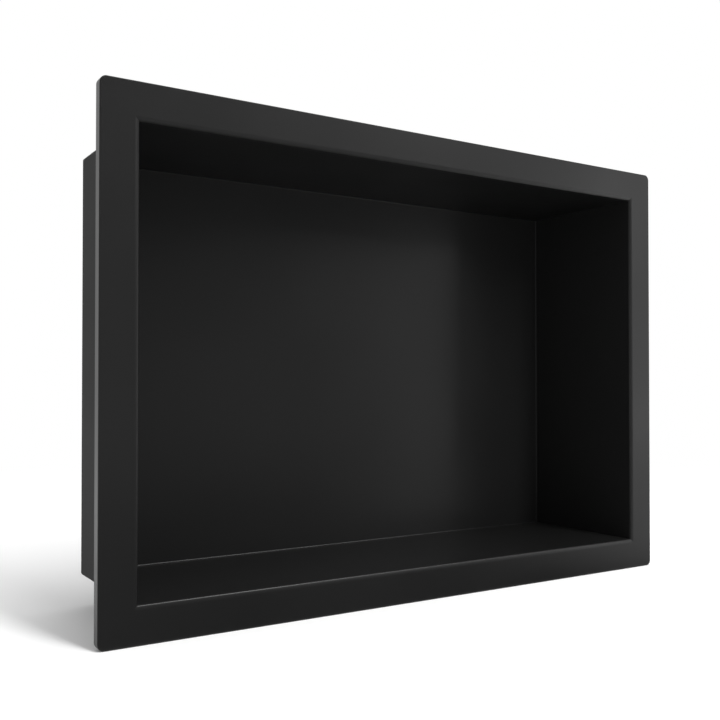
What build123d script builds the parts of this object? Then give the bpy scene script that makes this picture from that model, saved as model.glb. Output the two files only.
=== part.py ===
"""Shower niche insert: a flanged box of folded and welded sheet steel, set into a tiled wall.

The wall plane is XZ and the origin is the centre of the opening in it. +X is to the right for
someone who faces the wall, +Y goes into the wall and +Z is up. Lengths are in millimetres.
"""

import os

from build123d import *

# Flange: the frame that stands in front of the tiles and hides the cut edge of the wall.
flange_width = 431.8
flange_height = 304.8
flange_border = 22.0        # outer edge of the flange to the wall of the box
flange_corner_radius = 4.0
lip_depth = 6.35            # front face to the tiles: the edge is turned back this far
lip_fold_radius = 0.5       # outside of the crisp, groove-cut fold between flange and lip
mouth_radius = 2.0          # rolled edge where the flange turns into the box

# Box: the recess behind the flange. Its inside corners are sharp, with the weld on the outside.
niche_depth = 103.35        # clear depth, front face of the flange to the back panel
heel_radius = 0.9           # inside of the folds round the back panel
back_fold_radius = 1.5      # outside of those folds, which a groove inside keeps crisp
corner_weld_radius = 1.8    # outside of the ground weld down each corner
root_weld = 0.5             # weld in the angle between the back of the flange and the box

# Sheet: one gauge everywhere.
sheet = 2.0

# What follows from them.
opening_width = flange_width - 2 * flange_border
opening_height = flange_height - 2 * flange_border
front_plane = Plane.XZ.offset(lip_depth)
flange_back_plane = front_plane.offset(-sheet)


def flat_faces():
    """Faces square to the wall axis: front, flange back, lip rim, panel inside, panel back."""
    return niche_body.faces().filter_by(Axis.Y).sort_by(Axis.Y)


with BuildPart() as niche_body:
    # Flange with its lip: a shallow tray, open towards the wall.
    with BuildSketch(Plane.XZ):
        RectangleRounded(flange_width, flange_height, flange_corner_radius)
    extrude(amount=lip_depth)
    fillet(flat_faces().first.edges(), lip_fold_radius)
    with BuildSketch(Plane.XZ):
        RectangleRounded(
            flange_width - 2 * sheet,
            flange_height - 2 * sheet,
            flange_corner_radius - sheet,
        )
    extrude(amount=lip_depth - sheet, mode=Mode.SUBTRACT)

    # Box: its outside grows from the back of the flange, its hollow from the front.
    with BuildSketch(flange_back_plane):
        RectangleRounded(opening_width + 2 * sheet, opening_height + 2 * sheet, corner_weld_radius)
    extrude(amount=-niche_depth)
    with BuildSketch(front_plane):
        Rectangle(opening_width, opening_height)
    extrude(amount=-niche_depth, mode=Mode.SUBTRACT)

    # Rolled mouth, welded root, and the folds round the back panel.
    front, _, _, _, _ = flat_faces()
    fillet(front.inner_wires().edges(), mouth_radius)
    _, flange_back, _, _, _ = flat_faces()
    fillet(flange_back.inner_wires().edges(), root_weld)
    _, _, _, panel_inside, _ = flat_faces()
    fillet(panel_inside.edges(), heel_radius)
    _, _, _, _, panel_back = flat_faces()
    fillet(panel_back.edges(), back_fold_radius)

niche_body.part.label = "niche_body"

os.makedirs("parts", exist_ok=True)
export_step(niche_body.part, "parts/niche_body.step")
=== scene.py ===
# %% [markdown]
# A black shower niche, dressed in Blender.
# The niche is a shallow steel box with a flange round its mouth. It is set into a hole in a tiled
# wall, and the flange hides the cut edge of the tiles. It is one sheet of steel, folded, welded and
# coated satin black, so the whole look rests on the bends of the sheet and on how the coat takes light.
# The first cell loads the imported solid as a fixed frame. Everything after it is in the same metres.

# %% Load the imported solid
import math

import bpy
import numpy as np
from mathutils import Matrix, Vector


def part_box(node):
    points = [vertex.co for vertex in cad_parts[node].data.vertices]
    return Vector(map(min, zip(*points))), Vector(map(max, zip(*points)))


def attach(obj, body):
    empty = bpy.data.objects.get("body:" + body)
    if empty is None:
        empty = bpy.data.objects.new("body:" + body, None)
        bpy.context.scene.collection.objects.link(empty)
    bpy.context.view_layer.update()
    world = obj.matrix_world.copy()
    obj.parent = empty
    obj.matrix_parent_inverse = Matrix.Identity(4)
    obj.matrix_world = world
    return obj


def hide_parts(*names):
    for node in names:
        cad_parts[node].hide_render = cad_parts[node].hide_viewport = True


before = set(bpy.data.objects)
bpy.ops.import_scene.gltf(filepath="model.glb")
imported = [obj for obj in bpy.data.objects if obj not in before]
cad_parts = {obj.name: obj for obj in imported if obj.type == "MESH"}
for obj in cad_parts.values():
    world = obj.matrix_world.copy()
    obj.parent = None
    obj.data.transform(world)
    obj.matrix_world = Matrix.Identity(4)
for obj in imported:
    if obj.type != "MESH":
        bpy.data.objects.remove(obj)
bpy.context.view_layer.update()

low, high = (np.array(corner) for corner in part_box("niche_body"))
print("solid from", low.round(4), "to", high.round(4))

# %% [markdown]
# The section of the sheet.
# Cut the niche across its border and the sheet shows as one long folded strip: back panel, wall of the
# box, rolled edge at the opening, flange, and a lip that turns back to the tiles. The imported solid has
# this strip already, but its bends are a few flat facets, and a satin coat shows every facet as a stripe.
# So the same strip is drawn again here, with many steps in each bend, and not bevelled on the solid.
# A section is a list of runs. Its points are (inset, depth): how far in from the flange's outer edge, and
# how far behind its front. The edge at the opening is pressed, so it has no single radius: the flange
# eases over in a wide arc first, and a tight arc then takes it into the wall.

# %% Sizes of the section
MM = 0.001
BORDER = 22.0 * MM
LIP_DEPTH = 6.35 * MM
SHEET = 2.0 * MM
LIP_FOLD = 0.5 * MM
EDGE_ROLL = 1.4 * MM
EASE_ROLL = 6.0 * MM
EASE_ANGLE = 22.0
HEEL = 0.9 * MM
BACK_FOLD = 1.5 * MM
ROOT_WELD = 0.5 * MM
BEND_STEPS = 16

front_y = low[1]
half_width = (high[0] - low[0]) / 2
half_height = (high[2] - low[2]) / 2
niche_depth = high[1] - low[1] - SHEET
print("clear depth", round(niche_depth / MM, 2), "mm")


# %% Runs of the section
def flat(start, end, normal):
    """Straight run: its two end points, and one normal for both."""
    return np.array([start, end]), np.array([normal, normal], float)


def bend(centre, radius, first, last, facing=1):
    """Bent run: centre plus radius times (cos a, sin a), with the angle a going from first to last degrees.

    The normal is the same direction (cos a, sin a), or its opposite on the hollow side of the bend.
    """
    angle = np.radians(np.linspace(first, last, BEND_STEPS + 1))
    direction = np.stack([np.cos(angle), np.sin(angle)], axis=1)
    return np.array(centre) + radius * direction, facing * direction


turned = math.radians(EASE_ANGLE - 90)
handover = (EDGE_ROLL - EASE_ROLL) * np.array([math.cos(turned), math.sin(turned)])
mouth = np.array([BORDER - EDGE_ROLL, EASE_ROLL - handover[1]])
ease = mouth + handover
heel = (BORDER + HEEL, niche_depth - HEEL)
outer_wall = BORDER - SHEET
root = (outer_wall - ROOT_WELD, SHEET + ROOT_WELD)
back = (outer_wall + BACK_FOLD, niche_depth + SHEET - BACK_FOLD)
visible_runs = [
    bend(heel, HEEL, 90, 180, facing=-1),
    flat((BORDER, heel[1]), (BORDER, mouth[1]), (1, 0)),
    bend(mouth, EDGE_ROLL, 0, EASE_ANGLE - 90),
    bend(ease, EASE_ROLL, EASE_ANGLE - 90, -90),
    flat((ease[0], 0), (LIP_FOLD, 0), (0, -1)),
    bend((LIP_FOLD, LIP_FOLD), LIP_FOLD, -90, -180),
    flat((0, LIP_FOLD), (0, LIP_DEPTH), (-1, 0)),
]
hidden_runs = [
    flat((0, LIP_DEPTH), (SHEET, LIP_DEPTH), (0, 1)),
    flat((SHEET, LIP_DEPTH), (SHEET, SHEET), (1, 0)),
    flat((SHEET, SHEET), (root[0], SHEET), (0, 1)),
    bend(root, ROOT_WELD, -90, 0, facing=-1),
    flat((outer_wall, root[1]), (outer_wall, back[1]), (-1, 0)),
    bend(back, BACK_FOLD, 180, 90),
]
print(len(visible_runs), "visible runs and", len(hidden_runs), "hidden ones")

# %% [markdown]
# Carrying the section round the opening.
# Each point of the section travels round a rectangle with rounded corners. The flange's outer corners are
# cut round. Inside, the folded walls meet in sharp mitred corners, and outside, the weld on each corner is
# ground to a small round. That makes a grid of points, one row for each point of the section and one
# column for each place on the way round, and the two faces of the back panel close its ends. The bends
# would look dented if Blender guessed their normals from the facets, so the exact normals go into the
# mesh as well.

# %% Grid of the folded sheet
FLANGE_CORNER = 4.0 * MM
CORNER_WELD = 1.8 * MM
CORNER_INSIDE = 0.2 * MM
CORNER_STEPS = 16


def ring_directions():
    """Outward directions (cos t, sin t) for one trip round, and the signs of the corner each belongs to."""
    turn = np.radians(np.linspace(0, 90, CORNER_STEPS + 1))
    angle = (np.radians(90) * np.arange(4)[:, None] + turn).ravel()
    signs = np.array([(1, 1), (-1, 1), (-1, -1), (1, -1)], float)
    return np.stack([np.cos(angle), np.sin(angle)], axis=1), np.repeat(signs, CORNER_STEPS + 1, axis=0)


def carry(section, is_hidden, outward, signs):
    """Point = corner centre + corner radius times the outward direction.

    A corner centre lies one corner radius inside the rectangle that is inset by the section point's inset.
    """
    inset, depth = section[:, :1], section[:, 1:]
    box_radius = np.where(is_hidden[:, None], CORNER_WELD + outer_wall - inset, CORNER_INSIDE)
    radius = np.where(inset < BORDER / 2, FLANGE_CORNER - inset, box_radius)
    x = signs[:, 0] * (half_width - inset - radius) + radius * outward[:, 0]
    z = signs[:, 1] * (half_height - inset - radius) + radius * outward[:, 1]
    return np.stack([x, front_y + depth + 0 * x, z], axis=2)


def spread(normals, outward):
    """A normal (n inset, n depth) becomes n inset times the inward direction plus n depth along Y."""
    x = -normals[:, :1] * outward[:, 0]
    z = -normals[:, :1] * outward[:, 1]
    return np.stack([x, normals[:, 1:] + 0 * x, z], axis=2)


runs = visible_runs + hidden_runs
rows = np.concatenate([points[:-1] for points, _ in runs] + [runs[-1][0][-1:]])
strip_start = np.concatenate([normals[:-1] for _, normals in runs])
strip_end = np.concatenate([normals[1:] for _, normals in runs])
first_hidden = sum(len(points) - 1 for points, _ in visible_runs) + 1
is_hidden = np.arange(len(rows)) >= first_hidden
outward, signs = ring_directions()
grid = carry(rows, is_hidden, outward, signs)
print("grid of", grid.shape[0], "section points by", grid.shape[1], "places round the opening")


# %% Mesh of the folded sheet
def sheet_mesh(name):
    """Quads between neighbouring rows and columns, with one face on each side of the back panel."""
    count = grid.shape[1]
    index = np.arange(grid.shape[0] * count).reshape(grid.shape[:2])
    after = np.roll(index, -1, axis=1)
    quads = np.stack([index[:-1], index[1:], after[1:], after[:-1]], axis=2).reshape(-1, 4)
    panels = [index[0].tolist(), index[-1, ::-1].tolist()]
    mesh = bpy.data.meshes.new(name)
    mesh.from_pydata(grid.reshape(-1, 3), [], quads.tolist() + panels)
    start, end = spread(strip_start, outward), spread(strip_end, outward)
    around = [start, end, np.roll(end, -1, axis=1), np.roll(start, -1, axis=1)]
    quad_normals = np.stack(around, axis=2).reshape(-1, 3)
    panel_normals = np.repeat([(0.0, -1.0, 0.0), (0.0, 1.0, 0.0)], count, axis=0)
    mesh.polygons.foreach_set("use_smooth", np.ones(len(mesh.polygons), bool))
    mesh.normals_split_custom_set(np.concatenate([quad_normals, panel_normals]))
    return mesh


niche_mesh = sheet_mesh("niche_sheet")
dry_coat = niche_mesh.attributes.new("dry_coat", "FLOAT", "POINT")
dry_coat.data.foreach_set("value", np.repeat(is_hidden, grid.shape[1]).astype(np.float32))
niche = bpy.data.objects.new("niche_sheet", niche_mesh)
bpy.context.scene.collection.objects.link(niche)
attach(niche, "root")
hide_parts("niche_body")
print(len(niche_mesh.vertices), "vertices,", len(niche_mesh.polygons), "faces")

# %% [markdown]
# The coat.
# The steel is sprayed black and baked. On the faces that show, the coat is satin: it has a soft sheen,
# a skin as faintly dimpled as an orange, and gloss that drifts a little from place to place. The outside
# of the box, which goes into the wall, gets only a dry dusting of overspray, and that is flatter. One node
# group makes the skin from noise on Object coordinates, and the material says how much of it to use.

# %% Skin of a sprayed coat
NOISES_PER_METRE = {"Dimples": 700.0, "Dust": 3500.0, "Drifts": 9.0}
NOISE_DETAIL = 2.0
DUST_SHARE = 0.25


def new_group(name, inputs, outputs):
    """Empty shader group with float sockets: inputs as names with values, and outputs as names."""
    group = bpy.data.node_groups.new(name, "ShaderNodeTree")
    for label, value in inputs.items():
        socket = group.interface.new_socket(label, in_out="INPUT", socket_type="NodeSocketFloat")
        socket.default_value = value
    for label in outputs:
        group.interface.new_socket(label, in_out="OUTPUT", socket_type="NodeSocketFloat")
    return group, group.nodes.new("NodeGroupInput"), group.nodes.new("NodeGroupOutput")


def sprayed_skin():
    """Height = dimple noise plus a share of the finer dust noise. Drift = slow noise, about 0.3 to 0.7."""
    group, given, result = new_group("sprayed_skin", NOISES_PER_METRE, ["Height", "Drift"])
    nodes, links = group.nodes, group.links
    place = nodes.new("ShaderNodeTexCoord")
    noise = {}
    for label in NOISES_PER_METRE:
        noise[label] = nodes.new("ShaderNodeTexNoise")
        noise[label].inputs["Detail"].default_value = NOISE_DETAIL
        links.new(place.outputs["Object"], noise[label].inputs["Vector"])
        links.new(given.outputs[label], noise[label].inputs["Scale"])
    height = nodes.new("ShaderNodeMath")
    height.operation = "MULTIPLY_ADD"
    height.inputs[1].default_value = DUST_SHARE
    links.new(noise["Dust"].outputs["Fac"], height.inputs[0])
    links.new(noise["Dimples"].outputs["Fac"], height.inputs[2])
    links.new(height.outputs[0], result.inputs["Height"])
    links.new(noise["Drifts"].outputs["Fac"], result.inputs["Drift"])
    return group


skin_group = sprayed_skin()
print("group", skin_group.name, "puts out", [item.name for item in skin_group.interface.items_tree][:2])

# %% Satin black coat
COAT_BLACK = 0.0104
COAT_BLACK_THIN = 0.0116
SATIN_ROUGHNESS = 0.33
DRY_ROUGHNESS = 0.8
DRIFT_ROUGHNESS = 0.04
DRIFT_SPAN = (0.3, 0.7)
COAT_IOR = 1.42
DIMPLE_HEIGHT = 0.004 * MM


def map_range(nodes, links, source, span, lowest, highest):
    """Straight-line map of a value from one span to another, held at its ends."""
    node = nodes.new("ShaderNodeMapRange")
    ends = {"From Min": span[0], "From Max": span[1], "To Min": lowest, "To Max": highest}
    for label, value in ends.items():
        node.inputs[label].default_value = value
    links.new(source, node.inputs["Value"])
    return node.outputs["Result"]


def grey_colour(nodes, links, value):
    """Colour with the same value in all three channels."""
    node = nodes.new("ShaderNodeCombineColor")
    for channel in ("Red", "Green", "Blue"):
        links.new(value, node.inputs[channel])
    return node.outputs["Color"]


def satin_black_coat():
    """Black coat: roughness drifts about its satin value and rises to the dry one on the hidden side."""
    material = bpy.data.materials.new("satin_black_coat")
    material.use_nodes = True
    nodes, links = material.node_tree.nodes, material.node_tree.links
    shader = nodes["Principled BSDF"]
    shader.inputs["IOR"].default_value = COAT_IOR
    skin = nodes.new("ShaderNodeGroup")
    skin.node_tree = skin_group
    hidden = nodes.new("ShaderNodeAttribute")
    hidden.attribute_name = "dry_coat"
    base = map_range(nodes, links, hidden.outputs["Fac"], (0, 1), SATIN_ROUGHNESS, DRY_ROUGHNESS)
    drift = map_range(nodes, links, skin.outputs["Drift"], DRIFT_SPAN, -DRIFT_ROUGHNESS, DRIFT_ROUGHNESS)
    total = nodes.new("ShaderNodeMath")
    links.new(base, total.inputs[0])
    links.new(drift, total.inputs[1])
    links.new(total.outputs[0], shader.inputs["Roughness"])
    black = map_range(nodes, links, skin.outputs["Drift"], DRIFT_SPAN, COAT_BLACK, COAT_BLACK_THIN)
    links.new(grey_colour(nodes, links, black), shader.inputs["Base Color"])
    bump = nodes.new("ShaderNodeBump")
    bump.inputs["Distance"].default_value = DIMPLE_HEIGHT
    links.new(skin.outputs["Height"], bump.inputs["Height"])
    links.new(bump.outputs["Normal"], shader.inputs["Normal"])
    return material


niche_mesh.materials.append(satin_black_coat())
print("coat", niche_mesh.materials[0].name)

# %% [markdown]
# The room.
# A black thing is lit by what it mirrors, so the room counts as much as the lamps. The backdrop is white,
# and the coat mirrors it where it turns away from the camera. The front of the room is kept dim, as a
# photographer keeps it for a dark satin front. The world shader does both. Light Path says where a ray
# comes from: the camera's own rays see plain white, mirrored ones see white behind the niche and a dim
# room in front of it, and all others bring soft light of one strength.

# %% White room
ROOM_LIGHT = 0.62
BACKDROP = 0.86
FRONT_OF_ROOM = 0.13
ROOM_EDGE = 0.25
WHITE = (1, 1, 1, 1)


def either(nodes, links, first, second):
    """The greater of two masks."""
    node = nodes.new("ShaderNodeMath")
    node.operation = "MAXIMUM"
    links.new(first, node.inputs[0])
    links.new(second, node.inputs[1])
    return node.outputs[0]


def shown(nodes, links):
    """Two masks: 1 for the camera's own rays, and 1 for rays that show the room in a mirror or glass."""
    path = nodes.new("ShaderNodeLightPath")
    mirrored = either(nodes, links, path.outputs["Is Glossy Ray"], path.outputs["Is Transmission Ray"])
    return path.outputs["Is Camera Ray"], mirrored


def blend(nodes, links, mask, without, with_mask):
    """Plain mix of two values: the first where the mask is 0 and the second where it is 1."""
    node = nodes.new("ShaderNodeMix")
    links.new(mask, node.inputs["Factor"])
    for socket, value in ((node.inputs["A"], without), (node.inputs["B"], with_mask)):
        if isinstance(value, float):
            socket.default_value = value
        else:
            links.new(value, socket)
    return node.outputs["Result"]


def white_room():
    """World: 1 to the camera; to a mirror a ramp along Y from dim to white; soft light elsewhere."""
    world = bpy.data.worlds.new("white_room")
    world.use_nodes = True
    nodes, links = world.node_tree.nodes, world.node_tree.links
    background = nodes["Background"]
    background.inputs["Color"].default_value = WHITE
    direct, mirrored = shown(nodes, links)
    direction = nodes.new("ShaderNodeTexCoord")
    axes = nodes.new("ShaderNodeSeparateXYZ")
    links.new(direction.outputs["Generated"], axes.inputs[0])
    walls = map_range(nodes, links, axes.outputs["Y"], (-ROOM_EDGE, ROOM_EDGE), FRONT_OF_ROOM, BACKDROP)
    light = blend(nodes, links, mirrored, ROOM_LIGHT, walls)
    links.new(blend(nodes, links, direct, light, 1.0), background.inputs["Strength"])
    world.cycles.sampling_method = "NONE"
    return world


bpy.context.scene.world = white_room()
print("room light", ROOM_LIGHT, "backdrop", BACKDROP)

# %% [markdown]
# The paper on the floor.
# The niche stands on white paper, which takes its shadow. Real paper goes grey where the lamps no longer
# reach it, and a studio hides that with a sweep. Here the paper turns into a plain white glow away from
# the niche, for the rays that show it, which is simpler and leaves the light on the niche alone. The
# paper ends some way in front, where the dim part of the room begins.

# %% Paper floor
PAPER = 0.95
GLOW_SPAN = (0.5, 1.1)
FLOOR_X = (-4.0, 4.0)
FLOOR_Y = (-1.6, 4.0)


def matt(name):
    """New material with a fully rough shader that has no sheen."""
    material = bpy.data.materials.new(name)
    material.use_nodes = True
    shader = material.node_tree.nodes["Principled BSDF"]
    shader.inputs["Roughness"].default_value = 1.0
    shader.inputs["Specular IOR Level"].default_value = 0.0
    return material, shader, material.node_tree.nodes, material.node_tree.links


def white_paper():
    """Paper that turns into a white glow for the rays that show it: colour = paper times (1 - glow).

    The glow is the distance from the niche's middle, mapped from the glow span to 0 to 1.
    """
    material, shader, nodes, links = matt("white_paper")
    shader.inputs["Emission Color"].default_value = WHITE
    place = nodes.new("ShaderNodeTexCoord")
    distance = nodes.new("ShaderNodeVectorMath")
    distance.operation = "LENGTH"
    links.new(place.outputs["Object"], distance.inputs[0])
    away = map_range(nodes, links, distance.outputs["Value"], GLOW_SPAN, 0, 1)
    glow = blend(nodes, links, either(nodes, links, *shown(nodes, links)), 0.0, away)
    links.new(glow, shader.inputs["Emission Strength"])
    paper = map_range(nodes, links, glow, (0, 1), PAPER, 0)
    links.new(grey_colour(nodes, links, paper), shader.inputs["Base Color"])
    material.cycles.emission_sampling = "NONE"
    return material


def lay_flat(name, x_span, y_span, z, material):
    """Level rectangle over two spans."""
    x, y = np.meshgrid(x_span, y_span)
    points = np.stack([x.ravel(), y.ravel(), np.full(x.size, z)], axis=1)
    mesh = bpy.data.meshes.new(name)
    mesh.from_pydata(points, [], [(0, 1, 3, 2)])
    mesh.materials.append(material)
    sheet = bpy.data.objects.new(name, mesh)
    bpy.context.scene.collection.objects.link(sheet)
    return sheet


lay_flat("paper_floor", FLOOR_X, FLOOR_Y, low[2], white_paper())
print("floor at", round(low[2] / MM, 1), "mm")

# %% [markdown]
# The card in front, with a painted reflection.
# White paper right in front of a satin flange greys its lower half. A photographer lays a dark card there,
# just out of view. This one is hidden from the camera and takes no part in the light: only the coat
# mirrors it. Its greys are a painted reflection for the flange's lower border: it pales in the corner near
# the niche and to the right, where the flange is palest as well.

# %% Shaded card
CARD_X = (-0.4, 1.2)
CARD_Y = (-0.85, -0.0075)
CARD_LIFT = 0.4 * MM
# Painted reflection: the card's dark and pale greys, which only the coat mirrors on the flange's lower
# border.
CARD_DARK = 0.02
CARD_GREY = 0.61
CARD_PALES_X = (0.12, 0.3)
CARD_PALES_Y = (-0.36, -0.24)


def painted_reflection_card():
    """Matt card in painted reflection greys: two ramps multiplied, so it is dark but for the corner that is
    near and to the right.
    """
    material, shader, nodes, links = matt("painted_reflection_card")
    place = nodes.new("ShaderNodeTexCoord")
    axes = nodes.new("ShaderNodeSeparateXYZ")
    links.new(place.outputs["Object"], axes.inputs[0])
    corner = nodes.new("ShaderNodeMath")
    corner.operation = "MULTIPLY"
    links.new(map_range(nodes, links, axes.outputs["X"], CARD_PALES_X, 0, 1), corner.inputs[0])
    links.new(map_range(nodes, links, axes.outputs["Y"], CARD_PALES_Y, 0, 1), corner.inputs[1])
    grey = map_range(nodes, links, corner.outputs[0], (0, 1), CARD_DARK, CARD_GREY)
    links.new(grey_colour(nodes, links, grey), shader.inputs["Base Color"])
    return material


card = lay_flat("painted_reflection_card", CARD_X, CARD_Y, low[2] + CARD_LIFT, painted_reflection_card())
card.visible_camera = False
card.visible_diffuse = False
card.visible_shadow = False
print("card", [round(end - start, 2) for start, end in (CARD_X, CARD_Y)], "metres")

# %% [markdown]
# The lamps.
# A tall softbox stands in front, up and a little to the right. It lights the coat and the paper, and throws
# the shadow back and to the left. The sheen comes from three panels that the coat only mirrors. The long
# one overhead pales the flange towards the right and draws the bright line on the lower edge of the
# opening, the upright one puts a soft patch on the back panel, and the near one lights the flange's right
# side. An area lamp can be hidden from diffuse or from mirrored rays. That keeps light and sheen apart, so
# each can be set without upsetting the other.

# %% Lamps
# degrees right of the niche's front, degrees up, distance, width, height, brightness
KEY_SOFTBOX = (11.5, 59.5, 2.5, 0.5, 3.7, 13.5)
MIRRORED_PANELS = {
    "long_panel": (35.5, 55.5, 2.5, 1.4, 0.81, 9.2),
    "upright_panel": (38.5, 32.0, 2.5, 0.62, 1.55, 1.55),
    "near_panel": (58.8, 6.8, 0.665, 0.16, 0.46, 1.5),
}


def softbox(name, right, up, distance, width, height, brightness):
    """Rectangular lamp that faces the niche. Its power is pi times brightness times area."""
    lamp = bpy.data.lights.new(name, "AREA")
    lamp.shape = "RECTANGLE"
    lamp.size, lamp.size_y = width, height
    lamp.energy = math.pi * brightness * width * height
    thing = bpy.data.objects.new(name, lamp)
    across, rise = math.radians(right), math.radians(up)
    thing.location = (
        distance * math.cos(rise) * math.sin(across),
        -distance * math.cos(rise) * math.cos(across),
        distance * math.sin(rise),
    )
    thing.rotation_euler = (math.radians(90 - up), 0, across)
    thing.visible_camera = False
    bpy.context.scene.collection.objects.link(thing)
    return thing


softbox("key_softbox", *KEY_SOFTBOX).visible_glossy = False
for name, values in MIRRORED_PANELS.items():
    softbox(name, *values).visible_diffuse = False
print("one softbox and", len(MIRRORED_PANELS), "panels for the coat to mirror")

# %% [markdown]
# The camera.
# It stands to the left of the niche, a little below its middle, and looks slightly up. Its place, lens and
# shift were worked out from the straight edges in the reference view, which fix all of them at once.

# %% Camera
CAMERA_PLACE = (-0.3542, -0.4732, -0.0123)
LOOK_RIGHT = 32.49
LOOK_UP = 0.84
LENS = 45.035
SHIFT = (0.0, 0.0169)

camera = bpy.data.cameras.new("camera")
camera.lens = LENS
camera.shift_x, camera.shift_y = SHIFT
camera_object = bpy.data.objects.new("camera", camera)
camera_object.location = (CAMERA_PLACE[0], CAMERA_PLACE[1] + front_y, CAMERA_PLACE[2])
camera_object.rotation_euler = (math.radians(90 + LOOK_UP), 0, math.radians(-LOOK_RIGHT))
bpy.context.scene.collection.objects.link(camera_object)
bpy.context.scene.camera = camera_object
bpy.context.scene.view_settings.view_transform = "Standard"
print("camera at", [round(value, 3) for value in camera_object.location])
